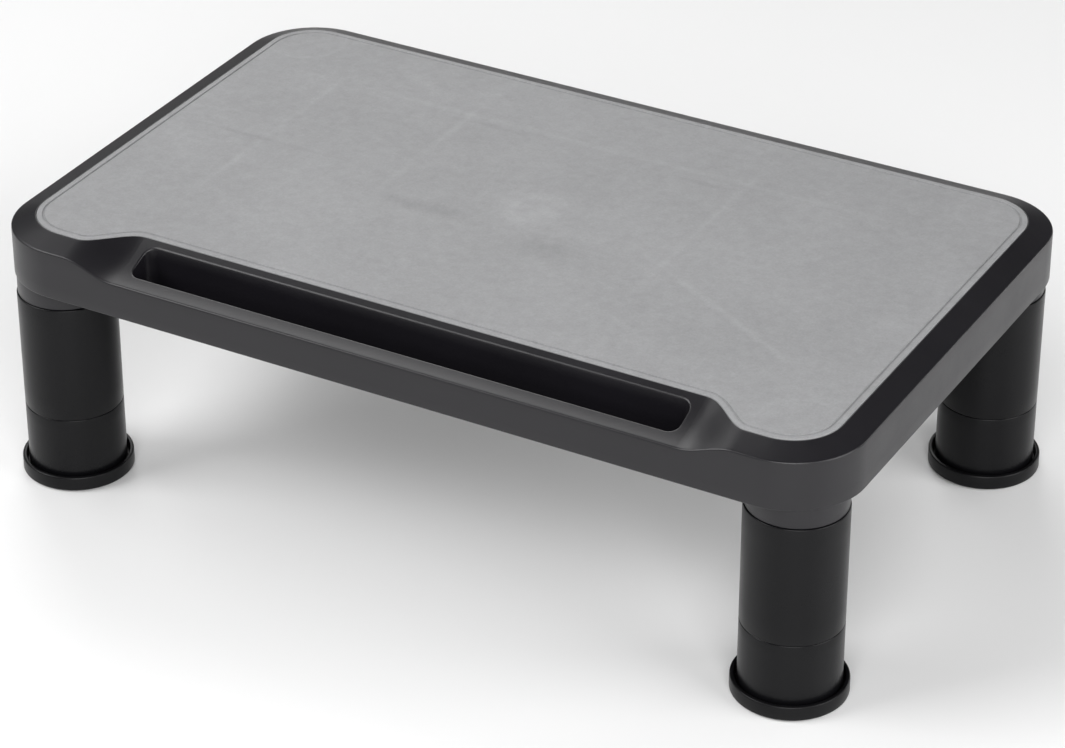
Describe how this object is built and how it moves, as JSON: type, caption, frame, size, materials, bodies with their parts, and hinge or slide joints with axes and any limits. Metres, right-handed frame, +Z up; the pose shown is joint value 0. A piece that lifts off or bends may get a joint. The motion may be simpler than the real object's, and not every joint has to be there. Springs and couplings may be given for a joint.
{
  "type": "monitor riser stand",
  "caption": "Low rectangular monitor riser: bevelled black deck with a grey textured top panel and a front pen trough, on stacked round push-fit legs.",
  "frame": {"origin": "middle of the stand's footprint, on the surface it stands on", "axes": "+X along the long side, towards the right as the user sees it; -Y towards the user, the side with the trough; +Z up"},
  "size_m": [0.44, 0.2706, 0.1374],
  "materials": {
    "deck_plastic": "satin moulded",
    "panel_grey": "fine matte texture",
    "column_plastic": "satin moulded",
    "cap_plastic": "satin moulded",
    "sole_rubber": "matte"
  },
  "bodies": {
    "root": {"deck": "deck_plastic", "top_panel": "panel_grey"},
    "upper_leg_front_left": {"upper_column_front_left": "column_plastic"},
    "lower_leg_front_left": {"lower_column_front_left": "column_plastic", "foot_cap_front_left": "cap_plastic", "foot_sole_front_left": "sole_rubber"},
    "upper_leg_front_right": {"upper_column_front_right": "column_plastic"},
    "lower_leg_front_right": {"lower_column_front_right": "column_plastic", "foot_cap_front_right": "cap_plastic", "foot_sole_front_right": "sole_rubber"},
    "upper_leg_back_left": {"upper_column_back_left": "column_plastic"},
    "lower_leg_back_left": {"lower_column_back_left": "column_plastic", "foot_cap_back_left": "cap_plastic", "foot_sole_back_left": "sole_rubber"},
    "upper_leg_back_right": {"upper_column_back_right": "column_plastic"},
    "lower_leg_back_right": {"lower_column_back_right": "column_plastic", "foot_cap_back_right": "cap_plastic", "foot_sole_back_right": "sole_rubber"}
  },
  "joints": [
    {"name": "upper_leg_front_left_pull", "type": "slide", "parent": "root", "child": "upper_leg_front_left", "axis": [0, 0, -1], "range_m": [0, 0.02]},
    {"name": "lower_leg_front_left_pull", "type": "slide", "parent": "upper_leg_front_left", "child": "lower_leg_front_left", "axis": [0, 0, -1], "range_m": [0, 0.02]},
    {"name": "upper_leg_front_right_pull", "type": "slide", "parent": "root", "child": "upper_leg_front_right", "axis": [0, 0, -1], "range_m": [0, 0.02]},
    {"name": "lower_leg_front_right_pull", "type": "slide", "parent": "upper_leg_front_right", "child": "lower_leg_front_right", "axis": [0, 0, -1], "range_m": [0, 0.02]},
    {"name": "upper_leg_back_left_pull", "type": "slide", "parent": "root", "child": "upper_leg_back_left", "axis": [0, 0, -1], "range_m": [0, 0.02]},
    {"name": "lower_leg_back_left_pull", "type": "slide", "parent": "upper_leg_back_left", "child": "lower_leg_back_left", "axis": [0, 0, -1], "range_m": [0, 0.02]},
    {"name": "upper_leg_back_right_pull", "type": "slide", "parent": "root", "child": "upper_leg_back_right", "axis": [0, 0, -1], "range_m": [0, 0.02]},
    {"name": "lower_leg_back_right_pull", "type": "slide", "parent": "upper_leg_back_right", "child": "lower_leg_back_right", "axis": [0, 0, -1], "range_m": [0, 0.02]}
  ]
}
